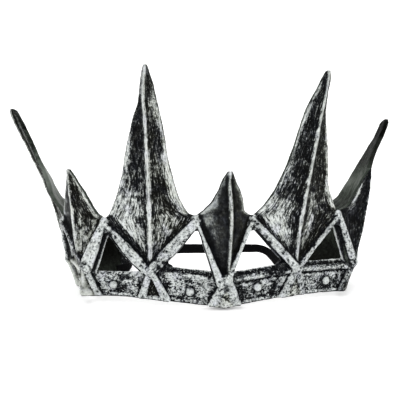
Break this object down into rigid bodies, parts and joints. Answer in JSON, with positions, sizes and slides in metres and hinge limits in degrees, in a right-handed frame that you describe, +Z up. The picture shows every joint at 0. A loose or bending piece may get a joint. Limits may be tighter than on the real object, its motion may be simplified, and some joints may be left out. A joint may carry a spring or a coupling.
{
  "type": "costume crown",
  "caption": "Costume crown: a studded band with triangular windows carries tall and short ridged points; open at the back, where a flat elastic strap joins its ends.",
  "frame": {"origin": "on the surface that the crown stands on, at the middle of its outline seen from above", "axes": "+X to the wearer's left, -Y to the front of the crown, +Z up"},
  "size_m": [0.2438, 0.0992, 0.1242],
  "materials": {
    "antique_silver": "silver paint brushed over black on a flexible moulding, with a low sheen",
    "black_elastic": "flat woven elastic, matt black"
  },
  "bodies": {
    "root": {"crown_moulding": "antique_silver", "elastic_strap": "black_elastic"}
  },
  "joints": []
}
